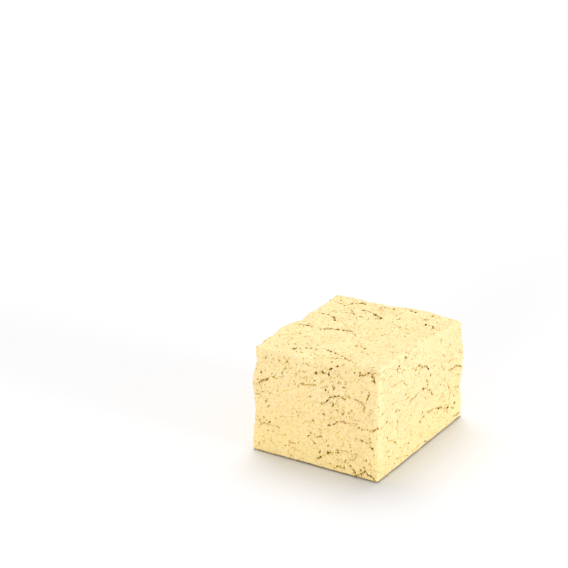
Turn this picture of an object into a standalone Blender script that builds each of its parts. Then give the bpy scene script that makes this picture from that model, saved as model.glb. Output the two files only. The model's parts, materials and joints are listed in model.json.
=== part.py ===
"""A hand-cut block of sunflower halva, as one solid.

The block is a box whose eight corners each lie a little off, as the knife left
them. Its faces carry the low relief of pressed halva and its upper edges have
crumbled. Short arched crevices split it between the pressed layers, and small
pits are left where crumbs and bits of seed hull came away.

Metres, +Z up. The block lies on its flat base, centred over the origin. The
front is at -Y and the block's longest side runs along Y.
"""

import math
import random
from collections import namedtuple

import bmesh
import bpy
from mathutils import Matrix, Vector, noise

MM = 0.001

# The block as a true box
WIDTH = 60.0 * MM
DEPTH = 75.1 * MM
HEIGHT = 46.6 * MM

# How far each corner lies off the true box, in mm along X, Y and Z. The key says
# on which side of the middle the corner is. The four low ones stay on the table.
CORNER_SHIFTS = {
    (-1, -1, -1): (-0.3, 0.55, 0.0),
    (1, -1, -1): (0.3, -2.55, 0.0),
    (1, 1, -1): (0.1, 2.75, 0.0),
    (-1, 1, -1): (-1.0, 0.45, 0.0),
    (-1, -1, 1): (1.1, 0.45, -0.5),
    (1, -1, 1): (-0.5, 0.15, 1.1),
    (1, 1, 1): (0.4, -0.15, -0.7),
    (-1, 1, 1): (-1.4, -0.65, 0.2),
}

# The cells of the surface, which crowd towards the edges by this share
CELL = 3.0 * MM
CROWDING = 0.55

# Rounding of the edges: the top ones are worn, the worst in the middle of the front
SIDE_RADIUS = 0.8 * MM
TOP_RADIUS = 1.3 * MM
WORN_RADIUS = 3.4 * MM
WORN_MIDDLE = 2.0 * MM
WORN_REACH = 26.0 * MM

# Low relief: (size of a hump, height of a hump)
HUMPS = (
    (11.0 * MM, 0.34 * MM),
    (6.0 * MM, 0.24 * MM),
)
CRUMBLE_SIZE = 5.0 * MM
CRUMBLE_DEPTH = 0.8 * MM
CRUMBLE_REACH = 3.5 * MM
CRISP_FOOT = 2.5 * MM
FOOT_RELIEF = 0.15

# A swelling pushes the surface round a place by a vector, both in mm, with its
# effect gone at its reach. A push inwards makes a hollow.
Swelling = namedtuple("Swelling", "place reach push")
SWELLINGS = (
    Swelling((-30.0, -12.5, 46.0), 15.0, (-1.5, 0.0, 0.9)),
    Swelling((-30.0, -28.0, 46.0), 8.0, (-0.5, 0.0, 0.7)),
    Swelling((-29.5, -36.0, 46.0), 5.0, (-0.2, -0.5, 0.9)),
    Swelling((-29.5, 2.5, 46.0), 6.0, (0.7, 0.0, -0.4)),
    Swelling((-29.5, -37.0, 41.0), 5.5, (0.3, 0.2, 0.0)),
    Swelling((-29.5, -37.0, 31.0), 9.0, (-1.1, -0.2, 0.0)),
    Swelling((-29.5, -37.0, 18.0), 7.0, (0.2, 0.1, 0.0)),
    Swelling((-30.0, -37.0, 6.0), 8.0, (-0.6, 0.0, 0.0)),
    Swelling((30.0, 39.0, 29.0), 14.0, (0.3, 1.9, 0.0)),
    Swelling((30.0, 39.0, 16.0), 6.0, (-0.3, -1.5, 0.0)),
    Swelling((30.0, 37.5, 45.0), 7.0, (0.0, 0.5, -0.2)),
    Swelling((8.0, 37.5, 46.5), 24.0, (0.0, 0.2, 0.9)),
    Swelling((-24.0, 37.5, 46.5), 12.0, (0.0, 0.3, 0.6)),
    Swelling((2.0, -36.0, 47.0), 17.0, (0.0, 0.6, -1.2)),
    Swelling((2.0, -24.0, 47.0), 11.0, (0.0, 0.0, 0.7)),
)

# A face of the block: a point in its middle line at the foot, or its middle for
# the top, then the directions across it, up it and out of it.
Face = namedtuple("Face", "origin across up out")
FACES = {
    "front": Face((0, -DEPTH / 2, 0), (1, 0, 0), (0, 0, 1), (0, -1, 0)),
    "right": Face((WIDTH / 2, 0, 0), (0, 1, 0), (0, 0, 1), (1, 0, 0)),
    "back": Face((0, DEPTH / 2, 0), (-1, 0, 0), (0, 0, 1), (0, 1, 0)),
    "left": Face((-WIDTH / 2, 0, 0), (0, -1, 0), (0, 0, 1), (-1, 0, 0)),
    "top": Face((0, 0, HEIGHT), (1, 0, 0), (0, 1, 0), (0, 0, 1)),
}

# A crevice, in mm on its face: its middle, its length from end to end, the angle
# of that line in degrees, how far it arches to one side, where along it the arch
# peaks, from 0 to 1, and how wide it gapes.
Crevice = namedtuple("Crevice", "face across up length turn arch peak gape")
CREVICES = (
    Crevice("top", 1.0, -33.9, 33.0, -5.0, 8.0, 0.35, 0.9),
    Crevice("front", 8.3, 29.3, 11.5, 18.0, 2.4, 0.75, 1.4),
    Crevice("front", -4.3, 33.6, 9.0, 12.0, 1.2, 0.3, 0.7),
    Crevice("front", 12.0, 20.6, 11.5, 16.0, 1.6, 0.55, 0.9),
    Crevice("front", 25.2, 22.2, 10.0, 12.0, -0.9, 0.4, 0.8),
    Crevice("front", 6.8, 6.4, 11.0, 24.0, 1.3, 0.45, 0.8),
    Crevice("front", 14.6, 8.8, 7.0, -14.0, 0.8, 0.4, 0.9),
    Crevice("front", 12.4, 1.9, 4.6, 8.0, 0.7, 0.5, 1.4),
    Crevice("front", 18.4, 1.9, 4.4, -50.0, 0.5, 0.5, 1.8),
    Crevice("front", 23.4, 3.2, 4.4, 62.0, -0.8, 0.5, 1.6),
    Crevice("front", 27.0, 2.0, 4.0, -35.0, 0.4, 0.5, 1.1),
    Crevice("front", -24.6, 32.4, 4.6, 30.0, 0.9, 0.4, 1.0),
    Crevice("front", -24.6, 11.8, 6.0, 28.0, 0.9, 0.5, 0.9),
    Crevice("front", 24.6, 43.4, 9.5, 14.0, 1.1, 0.7, 0.9),
    Crevice("front", 27.2, 42.2, 3.4, -60.0, 0.5, 0.5, 1.7),
    Crevice("front", 8.0, 43.0, 5.5, 38.0, 0.7, 0.5, 0.6),
    Crevice("front", -16.0, 40.5, 6.0, 66.0, -0.8, 0.5, 0.6),
    Crevice("front", 20.5, 30.0, 5.5, -48.0, 1.6, 0.5, 1.0),
    Crevice("front", 24.8, 35.4, 3.8, 58.0, 0.3, 0.5, 0.9),
    Crevice("front", 25.0, 15.2, 6.0, -22.0, 1.2, 0.4, 0.8),
    Crevice("right", -1.0, 22.6, 21.0, -10.0, 4.2, 0.62, 1.0),
    Crevice("right", -21.8, 35.3, 13.0, -12.0, 1.3, 0.6, 0.7),
    Crevice("right", 2.6, 33.0, 12.0, -36.0, 2.6, 0.5, 0.7),
    Crevice("right", 32.2, 25.0, 15.0, -13.0, 1.7, 0.45, 1.0),
    Crevice("right", 13.5, 10.0, 32.0, -9.0, 3.2, 0.25, 0.8),
    Crevice("right", 34.6, 1.6, 11.0, -13.0, 0.9, 0.5, 0.7),
    Crevice("right", -0.6, 1.6, 14.0, -6.0, 1.3, 0.5, 0.7),
    Crevice("right", 24.0, 17.4, 9.0, -70.0, 2.0, 0.5, 0.9),
    Crevice("right", 28.0, 30.0, 8.0, -12.0, 1.0, 0.5, 0.7),
    Crevice("top", -4.9, 22.0, 12.5, -26.0, 1.3, 0.4, 1.4),
    Crevice("top", -18.0, 28.6, 11.0, 58.0, 1.4, 0.5, 0.9),
    Crevice("top", -22.5, -5.0, 9.5, 4.0, 0.9, 0.4, 0.8),
    Crevice("top", -9.0, -3.6, 14.0, 21.0, 1.8, 0.6, 0.9),
    Crevice("top", -24.0, -19.6, 7.0, 40.0, 1.3, 0.5, 0.8),
    Crevice("top", 6.8, 34.2, 8.0, -28.0, 1.0, 0.5, 0.8),
    Crevice("top", -1.6, -4.4, 6.5, -24.0, 0.6, 0.5, 1.0),
)
CREVICE_STEP = 2.2 * MM
CREVICE_DEPTH = (0.8 * MM, 1.5 * MM)
CREVICE_SLANT = (-0.6, 0.6)
CREVICE_WANDER = 0.5 * MM
ABOVE_SURFACE = 0.9 * MM

# Crevices that no hand has placed: how many on each face and their range of shapes
MORE_CREVICES = {"front": 3, "right": 4, "top": 5, "left": 13, "back": 11}
MORE_LENGTH = (3.5, 12.0)
MORE_TURN = (-40.0, 40.0)
MORE_ARCH = (0.4, 2.4)
MORE_GAPE = (0.65, 1.05)
MARGIN = 3.0

# Pits: how many on each face, how wide and how deep
PITS = {"front": 16, "right": 12, "top": 12, "left": 10, "back": 8}
PIT_RADIUS = (0.45 * MM, 0.95 * MM)
PIT_DEPTH = (0.5 * MM, 1.0 * MM)
PIT_SIDES = 5

# Chips off the edges: the two corners of an edge, how many, and their range of
# radius. A chip bites into the edge by this share of its radius.
Chipped = namedtuple("Chipped", "start end count least most")
CHIPPED_EDGES = (
    Chipped((-1, -1, 1), (1, -1, 1), 9, 0.9 * MM, 2.0 * MM),
    Chipped((-1, -1, 1), (-1, 1, 1), 9, 0.9 * MM, 2.2 * MM),
    Chipped((1, -1, 1), (1, 1, 1), 4, 0.7 * MM, 1.3 * MM),
    Chipped((-1, 1, 1), (1, 1, 1), 5, 0.7 * MM, 1.5 * MM),
    Chipped((-1, -1, -1), (-1, -1, 1), 5, 0.8 * MM, 1.7 * MM),
    Chipped((1, -1, -1), (1, -1, 1), 4, 0.6 * MM, 1.1 * MM),
    Chipped((1, 1, -1), (1, 1, 1), 5, 0.8 * MM, 1.7 * MM),
    Chipped((-1, 1, -1), (-1, 1, 1), 5, 0.8 * MM, 1.7 * MM),
)
CHIP_BITE = (0.30, 0.50)
CHIP_FLATNESS = (0.55, 1.0)
CHIP_MARGIN = 0.06

SEED = 11
NOISE_SEED = Vector((3.7, 1.9, 5.3))
SMALLEST_EDGE = 0.02 * MM

COLOUR = (0.975, 0.850, 0.560, 1.0)
ROUGHNESS = 0.85


def clear_scene():
    """Removes every object that the file starts with."""
    for obj in list(bpy.data.objects):
        bpy.data.objects.remove(obj)


def halva_material():
    """Cream-yellow pressed halva, dull all over."""
    material = bpy.data.materials.new("halva")
    material.use_nodes = True
    shader = material.node_tree.nodes["Principled BSDF"]
    shader.inputs["Base Color"].default_value = COLOUR
    shader.inputs["Roughness"].default_value = ROUGHNESS
    shader.inputs["Metallic"].default_value = 0.0
    return material


def fade(distance, reach):
    """1 at no distance, falling smoothly to 0 at the reach."""
    share = min(1.0, distance / reach)
    return 1.0 - share * share * (3.0 - 2.0 * share)


def crowded(t):
    """A place from -1 to 1, moved so that the cells near both ends are smaller."""
    return (1.0 - CROWDING) * t + CROWDING * math.sin(t * math.pi / 2)


def edge_radius(point):
    """How round the block's edge is near this point of the true box."""
    high = point.z / HEIGHT
    radius = SIDE_RADIUS + (TOP_RADIUS - SIDE_RADIUS) * high
    worn = fade(abs(point.x - WORN_MIDDLE), WORN_REACH) * fade(point.y + DEPTH / 2, DEPTH / 4)
    return radius + (WORN_RADIUS - radius) * worn * high


def rounded(point):
    """The point moved from the true box to the one with round edges, and the way out of it there."""
    radius = edge_radius(point)
    inner = Vector((
        max(radius - WIDTH / 2, min(WIDTH / 2 - radius, point.x)),
        max(radius - DEPTH / 2, min(DEPTH / 2 - radius, point.y)),
        min(HEIGHT - radius, point.z),
    ))
    out = (point - inner).normalized()
    return inner + out * radius, out


def warped(point):
    """The point of the true box, moved with the block's eight corners."""
    share = Vector((point.x / WIDTH + 0.5, point.y / DEPTH + 0.5, point.z / HEIGHT))
    moved = point.copy()
    for corner, shift in CORNER_SHIFTS.items():
        weight = 1.0
        for side, part in zip(corner, share):
            weight *= part if side > 0 else 1.0 - part
        moved += Vector(shift) * (weight * MM)
    return moved


def near_edge(point):
    """1 on an upright or a top edge of the true box, and 0 past the crumble's reach from all of them."""
    gaps = sorted((
        WIDTH / 2 - abs(point.x),
        DEPTH / 2 - abs(point.y),
        HEIGHT - point.z,
    ))
    return fade(max(0.0, gaps[1]), CRUMBLE_REACH)


def relief(point):
    """How far the surface stands out of the true box at this point, by its humps and crumbled edges."""
    height = sum(tall * noise.noise(point / size + NOISE_SEED) for size, tall in HUMPS)
    bite = max(0.0, noise.noise(point / CRUMBLE_SIZE - NOISE_SEED))
    height -= CRUMBLE_DEPTH * bite * near_edge(point)
    return height * (1.0 - (1.0 - FOOT_RELIEF) * fade(point.z, CRISP_FOOT))


def swell(point):
    """The push of all the swellings at this point."""
    push = Vector((0.0, 0.0, 0.0))
    for swelling in SWELLINGS:
        distance = (point - Vector(swelling.place) * MM).length
        push += Vector(swelling.push) * (MM * fade(distance, swelling.reach * MM))
    return push


def formed(point, out):
    """Where a point of the true box lies on the real block. The way out of the surface there is given."""
    return warped(point) + out * relief(point) + swell(point)


def block_mesh():
    """The block before it is split and chipped, as a bmesh."""
    bm = bmesh.new()
    bmesh.ops.create_cube(bm, size=2.0)
    for axis, size in enumerate((WIDTH, DEPTH, HEIGHT)):
        along = [e for e in bm.edges if e.verts[0].co[axis] * e.verts[1].co[axis] < 0]
        bmesh.ops.subdivide_edges(bm, edges=along, cuts=round(size / CELL) - 1, use_grid_fill=True)
    for vertex in bm.verts:
        x, y, z = (crowded(t) for t in vertex.co)
        point = Vector((x * WIDTH / 2, y * DEPTH / 2, (z + 1.0) * HEIGHT / 2))
        on_table = point.z < SMALLEST_EDGE
        point, out = rounded(point)
        vertex.co = formed(point, out)
        if on_table:
            vertex.co.z = 0.0
    base = [f for f in bm.faces if all(v.co.z == 0.0 for v in f.verts)]
    bmesh.ops.dissolve_faces(bm, faces=base, use_verts=False)
    bmesh.ops.triangulate(bm, faces=[f for f in bm.faces if len(f.verts) == 4])
    return bm


def on_face(face, across, up, lift):
    """A place on a face of the real block, lifted off it by some distance."""
    out = Vector(face.out)
    point = Vector(face.origin) + Vector(face.across) * across + Vector(face.up) * up
    return formed(point, out) + out * lift


def crevice_line(crevice, draw):
    """The crevice's points on its face, from end to end, in metres."""
    length = crevice.length * MM
    steps = max(3, round(length / CREVICE_STEP))
    turn = Matrix.Rotation(math.radians(crevice.turn), 2)
    middle = Vector((crevice.across, crevice.up)) * MM
    line = []
    for i in range(steps + 1):
        share = i / steps
        from_peak = abs(share - crevice.peak)
        span = crevice.peak if share < crevice.peak else 1.0 - crevice.peak
        rise = crevice.arch * MM * (1.0 - (from_peak / span) ** 1.6)
        wander = draw.uniform(-CREVICE_WANDER, CREVICE_WANDER)
        line.append(middle + turn @ Vector(((share - 0.5) * length, rise + wander)))
    return line


def crevice_cutter(crevice, draw):
    """A thin slanted wedge along the crevice: two points above the surface and one at the root, at each step."""
    face = FACES[crevice.face]
    line = crevice_line(crevice, draw)
    last = len(line) - 1
    slant = draw.uniform(*CREVICE_SLANT)
    bm = bmesh.new()
    rows = []
    for i, place in enumerate(line):
        along = (line[min(i + 1, last)] - line[max(i - 1, 0)]).normalized()
        side = Vector((-along.y, along.x))
        body = math.sqrt(math.sin(math.pi * (i + 0.35) / (last + 0.7)))
        depth = draw.uniform(*CREVICE_DEPTH) * (0.5 + 0.5 * body)
        half = 0.5 * crevice.gape * MM * body * draw.uniform(0.7, 1.1)
        half *= (depth + ABOVE_SURFACE) / depth
        spots = (
            (place + side * half, ABOVE_SURFACE),
            (place - side * half, ABOVE_SURFACE),
            (place + side * slant * depth, -depth),
        )
        rows.append([bm.verts.new(on_face(face, spot.x, spot.y, lift)) for spot, lift in spots])
    for low, high in zip(rows, rows[1:]):
        for i in range(3):
            j = (i + 1) % 3
            bm.faces.new((low[i], low[j], high[j], high[i]))
    bm.faces.new(rows[0])
    bm.faces.new(rows[-1])
    bmesh.ops.triangulate(bm, faces=bm.faces[:])
    bmesh.ops.recalc_face_normals(bm, faces=bm.faces[:])
    return bm


def face_extent(name):
    """The lowest and highest places on a face that a crevice or pit may have, in mm."""
    wide = DEPTH if name in ("left", "right") else WIDTH
    across = wide / MM / 2 - MARGIN
    if name == "top":
        return (-across, across), (MARGIN - DEPTH / MM / 2, DEPTH / MM / 2 - MARGIN)
    return (-across, across), (MARGIN, HEIGHT / MM - MARGIN)


def more_crevices(draw):
    """The crevices that are strewn over the faces, each clear of all the others' middles."""
    found = list(CREVICES)
    for name, count in MORE_CREVICES.items():
        across, up = face_extent(name)
        strewn = 0
        while strewn < count:
            length = draw.uniform(*MORE_LENGTH)
            place = Vector((draw.uniform(*across), draw.uniform(*up)))
            others = (Vector((c.across, c.up, c.length)) for c in found if c.face == name)
            if any((o.xy - place).length < (o.z + length) / 2.6 for o in others):
                continue
            found.append(Crevice(
                name, place.x, place.y, length, draw.uniform(*MORE_TURN),
                draw.uniform(*MORE_ARCH), draw.uniform(0.25, 0.75), draw.uniform(*MORE_GAPE),
            ))
            strewn += 1
    return found


def pit_cutter(name, draw):
    """A small cone pushed point first into a face."""
    face = FACES[name]
    across, up = (draw.uniform(*span) * MM for span in face_extent(name))
    radius, depth = draw.uniform(*PIT_RADIUS), draw.uniform(*PIT_DEPTH)
    wider = (depth + ABOVE_SURFACE) / depth
    bm = bmesh.new()
    bmesh.ops.create_cone(
        bm, segments=PIT_SIDES, radius1=0.0, radius2=radius * wider,
        depth=depth + ABOVE_SURFACE, cap_ends=True,
    )
    squash = Matrix.Diagonal((draw.uniform(0.6, 1.0), 1.0, 1.0, 1.0))
    spin = Matrix.Rotation(draw.uniform(0.0, math.tau), 4, "Z")
    aim = Vector(face.out).to_track_quat("Z", "Y").to_matrix().to_4x4()
    middle = on_face(face, across, up, (ABOVE_SURFACE - depth) / 2)
    bmesh.ops.remove_doubles(bm, verts=bm.verts[:], dist=SMALLEST_EDGE)
    bmesh.ops.transform(bm, matrix=Matrix.Translation(middle) @ aim @ spin @ squash, verts=bm.verts[:])
    bmesh.ops.recalc_face_normals(bm, faces=bm.faces[:])
    return bm


def chip_cutter(edge, share, draw):
    """A rough lump that bites a chip out of an edge, this share of the way along it."""
    ends = [
        Vector((x * WIDTH / 2, y * DEPTH / 2, (z + 1) * HEIGHT / 2))
        for x, y, z in (edge.start, edge.end)
    ]
    point, out = rounded(ends[0].lerp(ends[1], share))
    radius = draw.uniform(edge.least, edge.most)
    stand_off = radius * (1.0 - draw.uniform(*CHIP_BITE))
    bm = bmesh.new()
    bmesh.ops.create_icosphere(bm, subdivisions=1, radius=radius)
    flat = Matrix.Diagonal((1.0, draw.uniform(*CHIP_FLATNESS), draw.uniform(*CHIP_FLATNESS), 1.0))
    spin = Matrix.Rotation(draw.uniform(0.0, math.tau), 4, Vector((1.0, 0.6, 0.3)))
    middle = formed(point, out) + out * stand_off
    bmesh.ops.transform(bm, matrix=Matrix.Translation(middle) @ spin @ flat, verts=bm.verts[:])
    return bm


def cutter_meshes():
    """Every cutter, as a name and a bmesh."""
    draw = random.Random(SEED)
    for crevice in more_crevices(draw):
        yield "crevice", crevice_cutter(crevice, draw)
    for name, count in PITS.items():
        for _ in range(count):
            yield "pit", pit_cutter(name, draw)
    for edge in CHIPPED_EDGES:
        for i in range(edge.count):
            share = (i + draw.uniform(0.1, 0.9)) / edge.count
            share = CHIP_MARGIN + (1.0 - 2.0 * CHIP_MARGIN) * share
            yield "chip", chip_cutter(edge, share, draw)


def object_from(bm, name, collection):
    """A new object with the bmesh's mesh, in a collection."""
    mesh = bpy.data.meshes.new(name)
    bm.to_mesh(mesh)
    bm.free()
    obj = bpy.data.objects.new(name, mesh)
    collection.objects.link(obj)
    return obj


def cut(block):
    """Takes all the crevices, pits and chips out of the block at once, and removes the cutters."""
    cutters = bpy.data.collections.new("cutters")
    bpy.context.scene.collection.children.link(cutters)
    for name, bm in cutter_meshes():
        cutter = object_from(bm, name, cutters)
        cutter.hide_render = True
        cutter.display_type = "WIRE"
    boolean = block.modifiers.new("crevices, pits and chips", "BOOLEAN")
    boolean.operation = "DIFFERENCE"
    boolean.operand_type = "COLLECTION"
    boolean.collection = cutters
    boolean.solver = "EXACT"
    graph = bpy.context.evaluated_depsgraph_get()
    whole = bpy.data.meshes.new_from_object(block.evaluated_get(graph))
    block.modifiers.clear()
    block.data = whole
    for cutter in list(cutters.objects):
        bpy.data.objects.remove(cutter)
    bpy.data.collections.remove(cutters)


def largest_body(bm):
    """Drops each scrap that the cuts have left loose beside the block."""
    left = set(bm.verts)
    bodies = []
    while left:
        body, edge = set(), [left.pop()]
        while edge:
            vertex = edge.pop()
            body.add(vertex)
            near = {e.other_vert(vertex) for e in vertex.link_edges} & left
            left -= near
            edge.extend(near)
        bodies.append(body)
    bodies.sort(key=len)
    scraps = [v for body in bodies[:-1] for v in body]
    bmesh.ops.delete(bm, geom=scraps, context="VERTS")


def settle(bm):
    """Moves the block so that the origin is in the middle of its base."""
    low = Vector((min(v.co[i] for v in bm.verts) for i in range(3)))
    high = Vector((max(v.co[i] for v in bm.verts) for i in range(3)))
    shift = Vector((-(low.x + high.x) / 2, -(low.y + high.y) / 2, -low.z))
    bmesh.ops.translate(bm, verts=bm.verts[:], vec=shift)


def make_block():
    """The finished block, one object at the origin."""
    block = object_from(block_mesh(), "halva_block", bpy.context.scene.collection)
    cut(block)
    bm = bmesh.new()
    bm.from_mesh(block.data)
    bmesh.ops.dissolve_degenerate(bm, edges=bm.edges[:], dist=SMALLEST_EDGE)
    largest_body(bm)
    settle(bm)
    bmesh.ops.triangulate(bm, faces=bm.faces[:])
    bm.to_mesh(block.data)
    bm.free()
    block.data.name = "halva_block"
    block.data.materials.clear()
    block.data.materials.append(halva_material())
    return block


def main():
    """Builds the part in an empty scene."""
    clear_scene()
    make_block()


main()
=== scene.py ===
"""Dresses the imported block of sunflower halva.

Ragged crevices, short cracks and pinholes are carved into a fine copy of the plain
solid, flecks of seed hull and pale crumbs are pressed into that, and a soft white
studio is set round it. Metres, +Z up.
"""

from __future__ import annotations

import json
import logging
import math
import random
import sys
from dataclasses import dataclass, field
from enum import Enum
from typing import Iterator, Sequence

import bmesh
import bpy
import numpy as np
from mathutils import Matrix, Vector, noise
from mathutils.bvhtree import BVHTree
from mathutils.kdtree import KDTree

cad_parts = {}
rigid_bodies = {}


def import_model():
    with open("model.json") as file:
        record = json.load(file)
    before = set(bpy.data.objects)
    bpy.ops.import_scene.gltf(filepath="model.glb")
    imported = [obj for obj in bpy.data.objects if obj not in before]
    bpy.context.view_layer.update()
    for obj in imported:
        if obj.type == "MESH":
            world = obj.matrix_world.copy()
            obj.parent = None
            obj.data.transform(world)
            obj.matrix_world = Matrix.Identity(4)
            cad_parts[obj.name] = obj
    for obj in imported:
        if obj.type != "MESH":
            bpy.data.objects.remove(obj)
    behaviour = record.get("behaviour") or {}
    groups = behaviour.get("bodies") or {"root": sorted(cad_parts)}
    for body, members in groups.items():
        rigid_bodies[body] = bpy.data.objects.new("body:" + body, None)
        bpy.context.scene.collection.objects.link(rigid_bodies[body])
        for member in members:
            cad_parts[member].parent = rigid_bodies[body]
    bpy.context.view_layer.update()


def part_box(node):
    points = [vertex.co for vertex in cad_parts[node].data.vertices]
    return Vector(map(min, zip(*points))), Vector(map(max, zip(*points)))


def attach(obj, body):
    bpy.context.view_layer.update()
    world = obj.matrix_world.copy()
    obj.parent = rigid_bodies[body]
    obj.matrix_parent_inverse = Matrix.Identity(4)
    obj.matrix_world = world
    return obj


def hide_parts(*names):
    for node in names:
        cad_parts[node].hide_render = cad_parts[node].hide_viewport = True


MM = 0.001
CM2 = 0.0001
NODE = "halva_block"
BODY = "root"
LOG = logging.getLogger("halva")

Triple = tuple[float, float, float]
Colour = Triple
Span = tuple[float, float]
Object = bpy.types.Object
Material = bpy.types.Material
Node = bpy.types.Node
Socket = bpy.types.NodeSocket


class Side(Enum):
    """A face of the block, as the directions across it, up it and out of it."""

    FRONT = ((1.0, 0.0, 0.0), (0.0, 0.0, 1.0), (0.0, -1.0, 0.0))
    RIGHT = ((0.0, 1.0, 0.0), (0.0, 0.0, 1.0), (1.0, 0.0, 0.0))
    BACK = ((-1.0, 0.0, 0.0), (0.0, 0.0, 1.0), (0.0, 1.0, 0.0))
    LEFT = ((0.0, -1.0, 0.0), (0.0, 0.0, 1.0), (-1.0, 0.0, 0.0))
    TOP = ((1.0, 0.0, 0.0), (0.0, 1.0, 0.0), (0.0, 0.0, 1.0))

    @property
    def ways(self) -> tuple[Vector, Vector, Vector]:
        """The three directions."""
        return tuple(Vector(way) for way in self.value)

    @property
    def axes(self) -> Matrix:
        """The three directions as the columns of a matrix."""
        return Matrix(self.value).transposed()

    @property
    def gape(self) -> float:
        """How strong its crevices are: most on top, where the block broke along its layers."""
        return {Side.TOP: 1.02, Side.FRONT: 0.70}.get(self, 0.95)


# --- shader maths


class Wire:
    """One value in a material. An expression on it adds Math nodes."""

    def __init__(self, recipe: Recipe, socket: Socket) -> None:
        """Wraps an output socket of the recipe's node tree."""
        self.recipe = recipe
        self.socket = socket

    def math(self, operation: str, *others: Wire | float, swap: bool = False) -> Wire:
        """Adds one Math node.

        Args:
            operation: The Math node's operation.
            others: The other operands.
            swap: Whether this value is the last operand and not the first.

        Returns:
            The node's value.
        """
        values = [self, *others]
        if swap:
            values.reverse()
        settings = {"operation": operation}
        node = self.recipe.node("ShaderNodeMath", settings, dict(enumerate(values)))
        return Wire(self.recipe, node.outputs[0])

    def __add__(self, other: Wire | float) -> Wire:
        """self + other"""
        return self.math("ADD", other)

    def __radd__(self, other: float) -> Wire:
        """other + self"""
        return self.math("ADD", other, swap=True)

    def __sub__(self, other: Wire | float) -> Wire:
        """self - other"""
        return self.math("SUBTRACT", other)

    def __rsub__(self, other: float) -> Wire:
        """other - self"""
        return self.math("SUBTRACT", other, swap=True)

    def __mul__(self, other: Wire | float) -> Wire:
        """self * other"""
        return self.math("MULTIPLY", other)

    def __rmul__(self, other: float) -> Wire:
        """other * self"""
        return self.math("MULTIPLY", other, swap=True)

    def __abs__(self) -> Wire:
        """The value without its sign."""
        return self.math("ABSOLUTE")

    def rise(self, low: float, high: float) -> Wire:
        """Rises smoothly from 0 where the value is low to 1 where it is high.

        Args:
            low: The value that gives 0.
            high: The value that gives 1. Below low, it makes the result fall.

        Returns:
            The result, from 0 to 1.
        """
        node = self.recipe.node(
            "ShaderNodeMapRange",
            {"interpolation_type": "SMOOTHSTEP"},
            {"Value": self, "From Min": low, "From Max": high},
        )
        return Wire(self.recipe, node.outputs["Result"])


def thrice(size: float | Triple) -> Triple:
    """A size for each axis, from those or from one for all of them."""
    return size if isinstance(size, tuple) else (size,) * 3


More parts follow.
